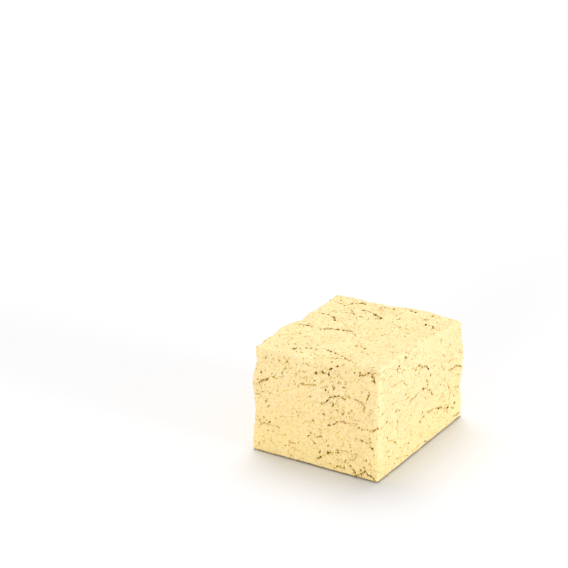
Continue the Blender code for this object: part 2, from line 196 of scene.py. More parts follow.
class Recipe:
    """A material's node tree, with one method that adds any node."""

    def __init__(self, name: str) -> None:
        """Starts an empty material."""
        self.material = bpy.data.materials.new(name)
        self.material.use_nodes = True
        self.tree = self.material.node_tree
        self.tree.nodes.clear()

    def node(self, kind: str, settings: dict | None = None, inputs: dict | None = None) -> Node:
        """Adds one node.

        Args:
            kind: The node's type.
            settings: Its settings, which are set first.
            inputs: For each socket, by name or number, a Wire, an output socket or a value.

        Returns:
            The node.
        """
        node = self.tree.nodes.new(kind)
        for key, value in (settings or {}).items():
            setattr(node, key, value)
        for key, value in (inputs or {}).items():
            socket = node.inputs[key]
            if isinstance(value, Wire):
                value = value.socket
            if isinstance(value, Socket):
                self.tree.links.new(value, socket)
            elif socket.type == "RGBA":
                socket.default_value = (*value, 1.0)
            else:
                socket.default_value = value
        return node

    def place(self) -> Socket:
        """Object coordinates, in metres."""
        return self.node("ShaderNodeTexCoord").outputs["Object"]

    def height(self) -> Wire:
        """The height above the table, in metres."""
        return Wire(self, self.node("ShaderNodeSeparateXYZ", None, {0: self.place()}).outputs[2])

    def scaled(self, place: Socket, scale: float | Triple) -> Socket:
        """Coordinates times a scale."""
        inputs = {"Vector": place, "Scale": thrice(scale)}
        return self.node("ShaderNodeMapping", None, inputs).outputs["Vector"]

    def cloud(
        self,
        size: float | Triple,
        detail: float = 2.0,
        rough: float = 0.5,
        place: Socket | None = None,
    ) -> Wire:
        """Soft noise.

        Args:
            size: How large its blotches are, in metres.
            detail: How many finer octaves it has.
            rough: How strong those are.
            place: Where it is read, in metres, if not at the surface itself.

        Returns:
            A value round 0.5.
        """
        place = self.place() if place is None else place
        at = self.scaled(place, tuple(1.0 / side for side in thrice(size)))
        inputs = {"Vector": at, "Scale": 1.0, "Detail": detail, "Roughness": rough}
        return Wire(self, self.node("ShaderNodeTexNoise", None, inputs).outputs["Fac"])

    def ragged(self, size: float, reach: float) -> Socket:
        """Object coordinates that a fine noise pushes about, which makes outlines ragged.

        Args:
            size: The noise's size in metres.
            reach: How far it pushes, in metres.

        Returns:
            The coordinates.
        """
        inputs = {"Vector": self.scaled(self.place(), 1.0 / size), "Scale": 1.0}
        noisy = self.node("ShaderNodeTexNoise", None, inputs)
        push = self.node(
            "ShaderNodeVectorMath",
            {"operation": "MULTIPLY_ADD"},
            {0: noisy.outputs["Color"], 1: thrice(reach), 2: self.place()},
        )
        return push.outputs[0]

    def cells(self, size: float, place: Socket) -> tuple[Wire, Wire, Wire, Socket]:
        """Scattered points, one in each cell of space.

        Args:
            size: The cells' size in metres.
            place: Where they are read, in metres.

        Returns:
            The distance to the nearest point, in cells; two chances of that point's own, from
            0 to 1; and where it is, in metres.
        """
        inputs = {"Vector": self.scaled(place, 1.0 / size), "Scale": 1.0}
        node = self.node("ShaderNodeTexVoronoi", None, inputs)
        split = self.node("ShaderNodeSeparateColor", None, {"Color": node.outputs["Color"]})
        values = (node.outputs["Distance"], split.outputs[0], split.outputs[1])
        return *(Wire(self, value) for value in values), self.scaled(node.outputs["Position"], size)

    def own(self, attribute: str) -> Wire:
        """The value that the mesh holds at each point under that name."""
        node = self.node("ShaderNodeAttribute", {"attribute_name": attribute})
        return Wire(self, node.outputs["Fac"])

    def mix(self, share: Wire | float, first: Colour | Socket, second: Colour | Socket) -> Socket:
        """The first colour with that share of the second."""
        inputs = {0: share, 6: first, 7: second}
        return self.node("ShaderNodeMix", {"data_type": "RGBA"}, inputs).outputs[2]

    def surface(
        self,
        colour: Socket,
        roughness: Wire | float,
        relief: Wire | None = None,
        bump: Span = (0.0, 0.0),
        **inputs: object,
    ) -> Material:
        """Finishes the material.

        Args:
            colour: Its colour.
            roughness: How rough it is.
            relief: How high it is at each point, as far as its bumps go.
            bump: How strong those bumps are, and how high in metres.
            inputs: What else the shader is given, by the name of its socket with _ for a space.

        Returns:
            The material.
        """
        given = {"Base Color": colour, "Roughness": roughness}
        given.update((name.replace("_", " "), value) for name, value in inputs.items())
        if relief is not None:
            bumps = {"Height": relief, "Strength": bump[0], "Distance": bump[1]}
            given["Normal"] = self.node("ShaderNodeBump", None, bumps).outputs[0]
        shader = self.node("ShaderNodeBsdfPrincipled", None, given)
        self.node("ShaderNodeOutputMaterial", None, {"Surface": shader.outputs[0]})
        return self.material


# --- the finishes


@dataclass(frozen=True)
class HalvaFinish:
    """Pressed halva: cream, mottled, dotted with pores, and darker down its crevices, with painted
    shade there that is partly browner broken halva, painted bounce light low on its sides and a
    painted contact shadow along its foot.
    """

    cream: Colour = (0.93, 0.72, 0.36)
    butter: Colour = (0.94, 0.765, 0.41)
    milk: Colour = (0.96, 0.83, 0.53)
    # The colour of the painted bounce light low on the sides.
    painted_bounce: Colour = (0.99, 0.795, 0.39)
    straw: Colour = (0.80, 0.555, 0.085)
    olive: Colour = (0.30, 0.178, 0.012)
    # The colour of the painted shade in bites and crevices, partly browner broken halva.
    dark: Colour = (0.185, 0.097, 0.006)
    # The darkest painted shade, deep in cavities, partly browner halva.
    husk_and_shade: Colour = (0.11, 0.053, 0.004)
    roughness: float = 0.85
    specular: float = 0.12
    glow: float = 0.06
    glow_reach: float = 0.6 * MM
    blotch: float = 11.0 * MM
    mottle: float = 2.2 * MM
    grain: float = 0.36 * MM
    crumble: float = 0.30 * MM
    coarse_dots: float = 1.05 * MM
    fine_dots: float = 0.54 * MM
    scarce: float = 0.72
    # Painted light: how high the warmer, brighter band at the bottom reaches, and the heights over
    # which the sides pale upwards.
    painted_bounce_top: float = 28.0 * MM
    milky: Span = (14.0 * MM, 44.0 * MM)
    # The painted contact shadow along the foot: the heights over which it fades in, and how wavy
    # its edge is.
    foot: Span = (1.15 * MM, 0.60 * MM)
    foot_shadow_waves: float = 0.9 * MM
    hair_rag: Span = (0.9 * MM, 1.9 * MM)
    hair_layers: Triple = (7.0 * MM, 7.0 * MM, 3.6 * MM)
    hair_stretch: float = 4.0 * MM
    hair_breaks: float = 0.8 * MM
    dot_rag: Span = (0.30 * MM, 0.45 * MM)
    dot_layers: Triple = (8.0 * MM, 8.0 * MM, 4.0 * MM)
    dot_stretch: float = 5.0 * MM
    bump: Span = (0.5, 0.22 * MM)

    def material(self) -> Material:
        """Mixes the finish.

        Returns:
            The material.
        """
        recipe = Recipe("pressed_halva")
        blotch = recipe.cloud(self.blotch, 3.0)
        mottle = recipe.cloud(self.mottle, 4.0, 0.65).rise(0.38, 0.70)
        grain = recipe.cloud(self.grain, 3.0, 0.6)
        crumble = recipe.cloud(self.crumble, 2.0, 0.6)
        height = recipe.height()
        # Where the painted contact shadow at the foot reaches, with a wavy edge.
        foot = height + self.foot_shadow_waves * (crumble - 0.5)
        coarse, fine = (self.specks(recipe, size) for size in (self.coarse_dots, self.fine_dots))
        hair = self.hairlines(recipe)
        cavity = recipe.own("cavity")
        # Painted shade, partly browner broken halva, in the bites, hollows and crevice walls that
        # carve marks, broken up by the crumble noise.
        scar_shade = recipe.own("scar_shade") + 1.7 * (crumble - 0.51)
        base = self.cream
        # Each layer: where it is, how strong it is there, and its colour. Later ones cover.
        for mask, strength, colour in (
            (blotch.rise(0.35, 0.68), 0.7, self.butter),
            (mottle, 0.24, self.milk),
            (grain.rise(0.52, 0.66), 0.6, self.milk),
            (grain.rise(0.46, 0.32), 0.22, self.straw),
            # Painted light: this layer and the next are a height gradient, warmer and brighter low
            # on the sides where the shaded table bounces less light up, and a little paler higher
            # up.
            (height.rise(self.painted_bounce_top, 0.0), 0.85, self.painted_bounce),
            (height.rise(*self.milky), 0.14, self.milk),
            # Painted shade, partly browner halva: this layer and the darker cavity layer below
            # darken the points that lie deep below their surroundings.
            (cavity.rise(0.05, 0.40), 0.6, self.straw),
            (fine, 0.8, self.olive),
            (coarse, 0.9, self.olive),
            (hair.rise(0.0, 0.4), 0.6, self.straw),
            (hair, 0.75, self.olive),
            # Painted shade, partly browner broken halva, in the bites, hollows and crevice walls.
            (scar_shade.rise(0.12, 0.34), 0.7, self.straw),
            (scar_shade.rise(0.28, 0.45), 1.0, self.dark),
            # Painted shade, partly browner halva, at the bottom of deep cavities.
            (cavity.rise(0.32, 0.85), 0.9, self.husk_and_shade),
            # Painted contact shadow: a dark olive band along the foot, where the block meets the
            # table.
            (foot.rise(*self.foot), 0.5, self.olive),
        ):
            base = recipe.mix(mask * strength, base, colour)
        return recipe.surface(
            base,
            self.roughness + 0.12 * (grain - 0.5),
            grain * 0.7 + mottle * 0.5 - coarse * 0.8 - fine * 0.5 - hair * 0.8,
            self.bump,
            Specular_IOR_Level=self.specular,
            Subsurface_Weight=self.glow,
            Subsurface_Scale=self.glow_reach,
            Subsurface_Radius=(1.0, 0.65, 0.3),
        )

    def hairlines(self, recipe: Recipe) -> Wire:
        """Thin broken lines where the pressed layers part.

        Args:
            recipe: The material they are for.

        Returns:
            How dark they are, from 0 to 1.
        """
        layers = recipe.cloud(self.hair_layers, place=recipe.ragged(*self.hair_rag))
        stretch = recipe.cloud(self.hair_stretch, 1.0).rise(0.50, 0.58)
        broken = recipe.cloud(self.hair_breaks).rise(0.46, 0.60)
        return abs(layers - 0.5).rise(0.016, 0.006) * stretch * broken

    def specks(self, recipe: Recipe, size: float) -> Wire:
        """Dark dots, some strewn and some in rows where the pressed layers part.

        Args:
            recipe: The material they are for.
            size: How far apart they are at most, in metres.

        Returns:
            How dark they are, from 0 to 1.
        """
        distance, chance, depth, place = recipe.cells(size, recipe.ragged(*self.dot_rag))
        layers = recipe.cloud(self.dot_layers, place=place)
        unbroken = recipe.cloud(self.dot_stretch, 1.0, place=place).rise(0.47, 0.55)
        row = abs(layers - 0.5).rise(0.022, 0.010) * unbroken
        likely = chance + 0.55 * row + 0.10 * (recipe.own("crumble") - 1.0)
        there = likely.rise(self.scarce, self.scarce + 0.08)
        return (distance + 0.10 * depth).rise(0.30, 0.23) * there * (0.4 + 0.6 * depth)


@dataclass(frozen=True)
class BitFinish:
    """What small things are made of: two tones, of which each has its own share, and streaks."""

    name: str
    first: Colour
    second: Colour
    tones: Span
    streak: float | Triple
    streakiness: float
    roughness: float
    uneven: float
    specular: float
    bump: Span

    def material(self) -> Material:
        """Mixes the finish.

        Returns:
            The material.
        """
        recipe = Recipe(self.name)
        streak = recipe.cloud(self.streak)
        tone = recipe.own("tone") + self.streakiness * (streak - 0.5)
        colour = recipe.mix(tone.rise(*self.tones), self.first, self.second)
        roughness = self.roughness + self.uneven * (streak - 0.5)
        return recipe.surface(
            colour, roughness, streak, self.bump, Specular_IOR_Level=self.specular
        )


SEED_HULL = BitFinish(
    name="seed_hull",
    first=(0.42, 0.28, 0.075),
    second=(0.13, 0.070, 0.014),
    tones=(0.2, 1.1),
    streak=(0.15 * MM, 0.15 * MM, 0.5 * MM),
    streakiness=0.5,
    roughness=0.65,
    uneven=0.2,
    specular=0.5,
    bump=(0.3, 0.03 * MM),
)
DRY_HALVA = BitFinish(
    name="halva_crumb",
    first=(0.95, 0.76, 0.40),
    second=(0.98, 0.87, 0.62),
    tones=(0.3, 1.0),
    streak=0.3 * MM,
    streakiness=0.4,
    roughness=0.85,
    uneven=0.1,
    specular=0.25,
    bump=(0.4, 0.05 * MM),
)


@dataclass(frozen=True)
class FloorFinish:
    """The studio's matt white table."""

    white: Colour = (0.812, 0.814, 0.812)
    shade: Colour = (0.802, 0.804, 0.802)
    cloud: float = 0.2
    roughness: float = 0.9

    def material(self) -> Material:
        """Mixes the finish.

        Returns:
            The material.
        """
        recipe = Recipe("white_table")
        colour = recipe.mix(recipe.cloud(self.cloud), self.white, self.shade)
        return recipe.surface(colour, self.roughness, Specular_IOR_Level=0.0)


# --- shapes and places


def start_clean() -> None:
    """Deselects everything, so that an operator acts on the new shape alone."""
    bpy.ops.object.select_all(action="DESELECT")


def only(obj: Object) -> None:
    """Makes one object the selected and active one."""
    start_clean()
    obj.select_set(True)
    bpy.context.view_layer.objects.active = obj


def open_mesh(obj: Object, action: str) -> None:
    """Opens one object in Edit mode, with all of its points selected or deselected."""
    only(obj)
    bpy.ops.object.mode_set(mode="EDIT")
    bpy.ops.mesh.select_all(action=action)


def close_mesh() -> None:
    """Goes back to Object mode."""
    bpy.ops.object.mode_set(mode="OBJECT")


def new_object(name: str, data: bpy.types.ID) -> Object:
    """Puts a mesh, a light or a camera into the scene as an object at the origin."""
    obj = bpy.data.objects.new(name, data)
    bpy.context.scene.collection.objects.link(obj)
    return obj


def aim(obj: Object, place: Vector, ahead: Vector) -> None:
    """Puts a lamp or the camera in its place and turns it to look ahead."""
    obj.location = place
    obj.rotation_mode = "QUATERNION"
    obj.rotation_quaternion = ahead.to_track_quat("-Z", "Y")


def apply_modifier(obj: Object, kind: str, **settings: object) -> None:
    """Adds a modifier and applies it.

    Args:
        obj: The object.
        kind: The modifier's type.
        settings: Its settings.
    """
    only(obj)
    modifier = obj.modifiers.new(kind.lower(), kind)
    for key, value in settings.items():
        setattr(modifier, key, value)
    bpy.ops.object.modifier_apply(modifier=modifier.name)


def points_of(obj: Object) -> np.ndarray:
    """The mesh's points, one row each."""
    flat = np.empty(len(obj.data.vertices) * 3, np.float32)
    obj.data.vertices.foreach_get("co", flat)
    return flat.reshape(-1, 3).astype(float)


def put_points(obj: Object, points: np.ndarray) -> None:
    """Moves the mesh's points to these rows."""
    obj.data.vertices.foreach_set("co", points.astype(np.float32).ravel())
    obj.data.update()


def mark(mesh: bpy.types.Mesh, name: str, values: np.ndarray) -> None:
    """Writes a value for each point of a mesh, which its material reads under that name."""
    attribute = mesh.attributes.new(name, "FLOAT", "POINT")
    attribute.data.foreach_set("value", values.astype(np.float32))


def tree_of(points: Sequence[Sequence[float]]) -> KDTree:
    """A tree that finds the nearest of these points, by their numbers."""
    tree = KDTree(len(points))
    for i, point in enumerate(points):
        tree.insert(point, i)
    tree.balance()
    return tree


@dataclass
class Shape:
    """A small thing that is modelled once and copied: its points and its triangles."""

    points: np.ndarray
    triangles: np.ndarray


@dataclass
class Strewn:
    """Many copies of small shapes, on their way to being one joined mesh."""

    name: str
    points: list[np.ndarray] = field(default_factory=list)
    triangles: list[np.ndarray] = field(default_factory=list)
    tones: list[np.ndarray] = field(default_factory=list)
    count: int = 0

    def add(self, shape: Shape, place: Matrix, tone: float = 0.0) -> None:
        """Adds one copy.

        Args:
            shape: The shape.
            place: Where it goes, as a matrix of its turn, size and place.
            tone: A value that its material reads.
        """
        matrix = np.array(place)
        self.points.append(shape.points @ matrix[:3, :3].T + matrix[:3, 3])
        self.triangles.append(shape.triangles + self.count)
        self.tones.append(np.full(len(shape.points), tone))
        self.count += len(shape.points)

    def join(self) -> Object:
        """Makes the joined mesh's object.

        Returns:
            The object.
        """
        mesh = bpy.data.meshes.new(self.name)
        points, triangles = np.concatenate(self.points), np.concatenate(self.triangles)
        mesh.from_pydata(points.tolist(), [], triangles.tolist())
        mark(mesh, "tone", np.concatenate(self.tones))
        return new_object(self.name, mesh)


@dataclass(frozen=True)
class Patch:
    """A stretch of the surface that is more crumbly than the rest, or less below a gain of 0."""

    middle: Triple
    reach: float
    gain: float


PATCHES = tuple(
    Patch((x * MM, y * MM, z * MM), reach * MM, gain)
    for x, y, z, reach, gain in (
        (30.0, -38.0, 24.0, 18.0, 0.6),
        (23.0, -38.0, 3.0, 9.0, 1.9),
        (10.0, -38.0, 34.0, 13.0, 0.2),
        (8.0, -38.0, 30.0, 5.0, 1.2),
        (27.0, -38.0, 43.0, 6.0, 0.9),
        (27.6, -38.0, 40.6, 2.2, -3.0),
        (-12.0, -38.0, 16.0, 20.0, -0.5),
        (31.0, 26.0, 30.0, 20.0, 0.7),
        (31.0, -1.0, 23.0, 8.0, 0.7),
        (31.0, -18.0, 20.0, 22.0, -0.5),
        (-12.0, 22.0, 47.0, 22.0, 0.7),
        (-5.0, 22.0, 47.0, 6.0, 1.7),
        (-9.0, -33.5, 47.0, 7.0, 1.3),
        (7.0, -33.5, 47.0, 8.0, 1.6),
        (14.0, -10.0, 47.0, 22.0, -0.5),
    )
)
LEAST_CRUMBLY = 0.15
MOST_CRUMBLY = 2.5


def crumbliness(points: np.ndarray) -> np.ndarray:
    """How crumbly the block is at each point, about 1 on the whole."""
    total = np.ones(len(points))
    for patch in PATCHES:
        away = np.linalg.norm(points - np.array(patch.middle), axis=1)
        total += patch.gain * np.exp(-((away / patch.reach) ** 2))
    return total.clip(LEAST_CRUMBLY, MOST_CRUMBLY)


def crumbly_at(place: Vector) -> float:
    """How crumbly the block is at one place."""
    return crumbliness(np.array([place]))[0]


@dataclass
class Spot:
    """A place on a side of the block, and how a thing there is turned."""

    side: Side
    across: float
    up: float
    turn: float = 0.0

    def beside(self, along: float, sideways: float, turn: float) -> Spot:
        """A spot a little further on, as seen from this one's own turn."""
        cos, sin = math.cos(self.turn), math.sin(self.turn)
        return Spot(
            self.side,
            self.across + along * cos - sideways * sin,
            self.up + along * sin + sideways * cos,
            self.turn + turn,
        )


class Skin:
    """The block's surface, which a straight line into a side finds."""

    FAR = 0.1
    LEAST_SLOPE = 0.3
    EVEN_SLOPE = 0.72

    def __init__(self, obj: Object) -> None:
        """Reads the object's mesh."""
        self.tree = BVHTree.FromObject(obj, bpy.context.evaluated_depsgraph_get())
        points = points_of(obj)
        self.low = Vector(points.min(0))
        self.high = Vector(points.max(0))

    def spots(
        self, side: Side, per_cm2: float, margin: float, tilt: float, draw: random.Random
    ) -> Iterator[Spot]:
        """Spots strewn over a side.

        Args:
            side: The side.
            per_cm2: How many there are on a square centimetre.
            margin: A strip that is left free along its edges.
            tilt: How far they are turned, as a standard deviation. 0 turns them any way.
            draw: The random draw.

        Yields:
            The spots.
        """
        spans = []
        for way in side.ways[:2]:
            first, last = sorted((self.low.dot(way), self.high.dot(way)))
            spans.append((first + margin, last - margin))
        area = math.prod(last - first for first, last in spans)
        for _ in range(round(per_cm2 * area / CM2)):
            turn = draw.gauss(0.0, tilt) if tilt else draw.uniform(0.0, math.tau)
            yield Spot(side, *(draw.uniform(*span) for span in spans), turn)

    def side_of(self, place: Vector, out: Vector, depth: float) -> Side | None:
        """The side that a place lies under.

        Args:
            place: The place.
            out: The way that the side should face as nearly as it can.
            depth: The deepest that the place may lie under it.

        Returns:
            The side, or None where the place lies deeper than that under every side.
        """
        for side in sorted(Side, key=lambda each: -out.dot(each.ways[2])):
            ahead = side.ways[2] * self.FAR
            above = self.tree.ray_cast(place + ahead, -ahead)[0]
            if above is not None and (above - place).length < depth:
                return side
        return None

    def hit(self, spot: Spot) -> tuple[Vector, Vector] | None:
        """The surface's place and normal at a spot, or None past an edge."""
        across, up, out = spot.side.ways
        start = across * spot.across + up * spot.up + out * self.FAR
        place, normal, _, _ = self.tree.ray_cast(start, -out)
        if place is None or normal.dot(out) < self.LEAST_SLOPE:
            return None
        return place, normal

    def inland(self, spot: Spot, margin: float) -> bool:
        """Whether the surface goes on evenly round a spot, with no edge within the margin."""
        out = spot.side.ways[2]
        for along, sideways in ((margin, 0.0), (-margin, 0.0), (0.0, margin), (0.0, -margin)):
            found = self.hit(spot.beside(along, sideways, 0.0))
            if found is None or found[1].dot(out) < self.EVEN_SLOPE:
                return False
        return True

    def touch(self, spot: Spot) -> Matrix | None:
        """Where a spot lies on the surface, on the surface's own slope.

        Args:
            spot: The spot.

        Returns:
            A matrix that carries a shape there, with its Z out of the surface, or None past an
            edge.
        """
        found = self.hit(spot)
        out = spot.side.ways[2]
        if found is None or found[1].dot(out) < self.EVEN_SLOPE:
            return None
        place, normal = found
        axes = out.rotation_difference(normal).to_matrix() @ spot.side.axes
        return Matrix.Translation(place) @ (axes @ Matrix.Rotation(spot.turn, 3, "Z")).to_4x4()

    def level(self, spot: Spot, reach: float) -> Matrix | None:
        """Where the surface would be at a spot if the crevice there were closed.

        Args:
            spot: The spot.
            reach: How far to either side the crevice may be.

        Returns:
            A matrix that carries a shape there, with its Z out of the side, or None past an edge.
        """
        across, up, out = spot.side.ways
        sides = [self.hit(spot.beside(0.0, sideways, 0.0)) for sideways in (-reach, 0.0, reach)]
        heights = [found[0].dot(out) for found in sides if found]
        if not heights:
            return None
        place = across * spot.across + up * spot.up + out * max(heights)
        turned = spot.side.axes @ Matrix.Rotation(spot.turn, 3, "Z")
        return Matrix.Translation(place) @ turned.to_4x4()


# --- hollows and bits


def skewed(draw: random.Random, least: float, more: float, bias: float) -> float:
    """A draw from least to least plus more, mostly near least where the bias is over 1."""
    return least + more * draw.random() ** bias


@dataclass
class Pebble:
    """A small ball, squashed and knocked about: a fleck or a crumb, or a hollow's shape."""

    size: Triple
    knock: float
    seed: int

    def shape(self) -> Shape:
        """Models it at the origin and takes its mesh, which has triangles alone.

        Returns:
            Its shape.
        """
        start_clean()
        bpy.ops.mesh.primitive_ico_sphere_add(subdivisions=1, radius=1.0, enter_editmode=True)
        bpy.ops.transform.resize(value=self.size)
        bpy.ops.transform.vertex_random(offset=self.knock * min(self.size), seed=self.seed)
        bpy.ops.mesh.normals_make_consistent(inside=False)
        close_mesh()
        obj = bpy.context.object
        mesh = obj.data
        triangles = np.array([tuple(face.vertices) for face in mesh.polygons], int)
        shape = Shape(points_of(obj), triangles)
        bpy.data.objects.remove(obj)
        bpy.data.meshes.remove(mesh)
        return shape


@dataclass
class Hollow:
    """A hollow that is cut out with a pebble: where it is, and its half length."""

    spot: Spot
    half: float


@dataclass
class Cut:
    """A hollow as it was cut: its middle, its half length and how dark its painted shade is, from 0
    to 1.
    """

    middle: Vector
    half: float
    dark: float

    def meets(self, middle: Vector, half: float, crowding: float) -> bool:
        """Whether another hollow would come nearer than their lengths times the crowding."""
        return (middle - self.middle).length < (half + self.half) * crowding


@dataclass
class Bite:
    """A nibble out of the surface: where it is, how strong it is, from 0 to 1, and its lean.

    One in a crevice also has how far to either side that may reach.
    """

    spot: Spot
    force: float
    lean: float
    crevice: float = 0.0

    LEAST_REACH = 0.14 * MM
    MORE_REACH = 0.20 * MM
    LEAST_DEPTH = 0.08 * MM
    MORE_DEPTH = 0.72 * MM
    LEAST_SHADE = 0.28
    MORE_SHADE = 0.66

    @property
    def reach(self) -> float:
        """How far to its sides it goes."""
        return self.LEAST_REACH + self.MORE_REACH * self.force

    @property
    def depth(self) -> float:
        """How deep it goes."""
        return self.LEAST_DEPTH + self.MORE_DEPTH * self.force

    @property
    def shade(self) -> float:
        """How dark the painted shade in its middle is."""
        return self.LEAST_SHADE + self.MORE_SHADE * self.force


@dataclass
class Rift:
    """A crack between crumbs: a ragged broken line that arches, widest here and there."""

    start: Spot
    length: float
    arch: float
    strength: float
    lean: float
    step: float = 0.16 * MM
    jitter: float = 0.60
    memory: float = 0.78
    fold: float = 0.045
    fold_turn: Span = (0.5, 1.1)
    patchiness: float = 0.62 * MM
    phases: float = 500.0
    evenness: float = 0.38
    unevenness: float = 1.9
    body: Span = (0.06, 0.88)
    least: float = 0.12

    def bites(self, draw: random.Random) -> Iterator[Bite]:
        """Walks along it.

        Args:
            draw: The random draw.

        Yields:
            Its bites in order.
        """
        count = max(3, round(self.length / self.step))
        side = self.start.side
        heading = self.start.turn + 0.5 * self.arch
        back = self.start.beside(-0.5 * self.length, 0.0, 0.0)
        across, up = back.across, back.up
        shake, phase = 0.0, draw.uniform(0.0, self.phases)
        for i in range(count):
            shake = self.memory * shake + draw.gauss(0.0, self.jitter)
            heading -= self.arch / count
            if draw.random() < self.fold:
                heading += draw.choice((-1.0, 1.0)) * draw.uniform(*self.fold_turn)
            across += math.cos(heading + shake) * self.step
            up += math.sin(heading + shake) * self.step
            body = math.sin(math.pi * (self.body[0] + self.body[1] * i / count)) ** 0.5
            wave = noise.noise(Vector((phase, i * self.step / self.patchiness, 0.5)))
            force = self.strength * body * (self.evenness + self.unevenness * wave) * side.gape
            if force > self.least:
                yield Bite(Spot(side, across, up, heading), min(force, 1.0), self.lean)


@dataclass(frozen=True)
class Relief:
    """Soft noise that moves the surface: how large its humps are, how high, and which way."""

    size: float
    height: float
    direction: str = "NORMAL"
    colours: str = "GRAYSCALE"


# --- the block


@dataclass
class HalvaBlock:
    """The block with its fine surface."""

    name: str = "pressed_halva_block"
    seed: int = 5
    merge: float = 0.002 * MM
    voxel: float = 0.20 * MM
    quick_voxels: float = 2.2
    most_triangles: int = 186000
    smooth_angle: float = 50.0
    # The plain solid's crevices, with the cracks and hollows that make them ragged.
    least_fold: float = 1.1
    least_face: float = 0.04 * MM * MM
    crevice_reach: float = 1.1 * MM
    crevice_depth: float = 2.0 * MM
    crack_spacing: float = 0.18 * MM
    crack_wander: float = 0.50 * MM
    wander_size: float = 0.6 * MM
    crack_patchiness: float = 0.8 * MM
    evenness: float = 0.10
    unevenness: float = 2.3
    sound_share: float = 0.25
    least_crack: float = 0.2
    crack_lean: float = 0.4
    branches: float = 0.05
    branch_turn: Span = (0.4, 1.2)
    branch_length: Span = (0.8 * MM, 2.6 * MM)
    hollow_spacing: float = 1.6 * MM
    hollow_half: Span = (0.35 * MM, 0.70 * MM)
    hollow_stray: float = 0.30 * MM
    hollow_tilt: float = 0.5
    hollow_shapes: int = 12
    hollow_width: Span = (0.30, 0.60)
    hollow_depth: Span = (0.7, 1.0)
    hollow_knock: float = 0.34
    crowding: float = 1.1
    # What is strewn between them.
    edge_margin: float = 0.7 * MM
    crisp_edge: float = 1.0 * MM
    most_crumbly: float = 1.6
    holes_per_cm2: float = 3.5
    least_hole: float = 0.35 * MM
    rifts_per_cm2: float = 5.2
    rift_tilt: float = 0.45
    rift_length: Triple = (1.0 * MM, 6.0 * MM, 1.8)
    rift_arch: Span = (-0.3, 1.5)
    rift_strength: Span = (0.3, 1.0)
    lean: float = 0.4
    nicks_per_cm2: float = 24.0
    nick_force: float = 0.75
    nick_clump: tuple[int, ...] = (1, 1, 2, 3)
    nick_stray: float = 0.2 * MM
    # The raised lip above each bite, and the painted shade on the far walls of the crevices.
    lip: float = 0.10 * MM
    crevice_lip: float = 0.22 * MM
    lip_width: float = 2.6
    wall_heights: tuple[float, ...] = (0.0, 0.35, 0.7, 1.0)
    wall_reach: float = 1.3
    wall_fade: float = 0.4
    wall_slant: float = 0.35 * MM
    # The grain, which fades out towards the foot, and the depth that counts as a cavity.
    reliefs: tuple[Relief, ...] = (
        Relief(1.1 * MM, 0.9 * MM, "RGB_TO_XYZ", "COLOR"),
        Relief(3.2 * MM, 0.22 * MM),
        Relief(0.7 * MM, 0.13 * MM),
    )
    foot: float = 0.2 * MM
    foot_fade: float = 1.2 * MM
    foot_levels: int = 10
    smoothings: int = 50
    cavity: float = 0.6 * MM
    # The rim of the base, which stands a little clear of the table.
    rim_height: float = 0.75 * MM
    rim_width: float = 3.4 * MM
    rim_slope: float = 0.6
    rim_lift: Span = (0.85, 0.7)
    rim_waves: float = 5.0 * MM
    rim_wall: Span = (0.8 * MM, 1.3 * MM)
    cracks: list[tuple[Spot, float]] = field(default_factory=list)

    def build(self) -> Object:
        """Makes the block.

        Returns:
            Its object.
        """
        low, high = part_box(NODE)
        obj = self.copy_solid()
        carving, cuts = self.carving(obj)
        apply_modifier(obj, "BOOLEAN", operation="DIFFERENCE", object=carving, solver="MANIFOLD")
        bpy.data.objects.remove(carving)
        LOG.info("cut: %d points", len(obj.data.vertices))
        voxel = self.voxel * 1.0
        apply_modifier(obj, "REMESH", mode="VOXEL", voxel_size=voxel)
        LOG.info("remeshed: %d points", len(obj.data.vertices))
        self.carve(obj, cuts)
        self.roughen(obj)
        self.mark_cavities(obj)
        self.thin(obj)
        self.drop_scraps(obj)
        self.lift_rim(obj)
        put_points(obj, np.clip(points_of(obj), np.array(low), np.array(high)))
        mark(obj.data, "crumble", crumbliness(points_of(obj)))
        obj.data.materials.clear()
        obj.data.materials.append(HalvaFinish().material())
        only(obj)
        bpy.ops.object.shade_smooth_by_angle(angle=math.radians(self.smooth_angle))
        LOG.info("%s: %d faces", self.name, len(obj.data.polygons))
        return obj

    def copy_solid(self) -> Object:
        """A merged copy of the plain solid."""
        mesh = bpy.data.objects[NODE].data.copy()
        mesh.name = self.name
        obj = new_object(self.name, mesh)
        open_mesh(obj, "SELECT")
        bpy.ops.mesh.remove_doubles(threshold=self.merge)
        close_mesh()
        return obj

    def carving(self, obj: Object) -> tuple[Object, list[Cut]]:
        """All that is cut out of the block, as one object.

        Args:
            obj: The plain block.

        Returns:
            The object, and what was cut.
        """
        draw = random.Random(self.seed)
        skin = Skin(obj)
        shapes = []
        for i in range(self.hollow_shapes):
            size = (1.0, draw.uniform(*self.hollow_width), draw.uniform(*self.hollow_depth))
            shapes.append(Pebble(size, self.hollow_knock, i).shape())
        strewn = Strewn("carving")
        cuts: list[Cut] = []
        # Each source of hollows, how far to either side they may reach, and the palest painted
        # shade they get.
        for source, reach, palest in (
            (self.worn_crevices(obj, skin), self.crevice_reach, 0.7),
            (self.holes(skin, draw), 0.0, 0.3),
        ):
            for hollow in source:
                place, half = skin.level(hollow.spot, reach), hollow.half
                if place is None:
                    continue
                middle = place.translation
                if any(cut.meets(middle, half, self.crowding) for cut in cuts):
                    continue
                strewn.add(draw.choice(shapes), place @ Matrix.Scale(half, 4))
                cuts.append(Cut(middle, half, draw.uniform(palest, 1.0)))
            LOG.info("carving: %d hollows", len(cuts))
        return strewn.join(), cuts

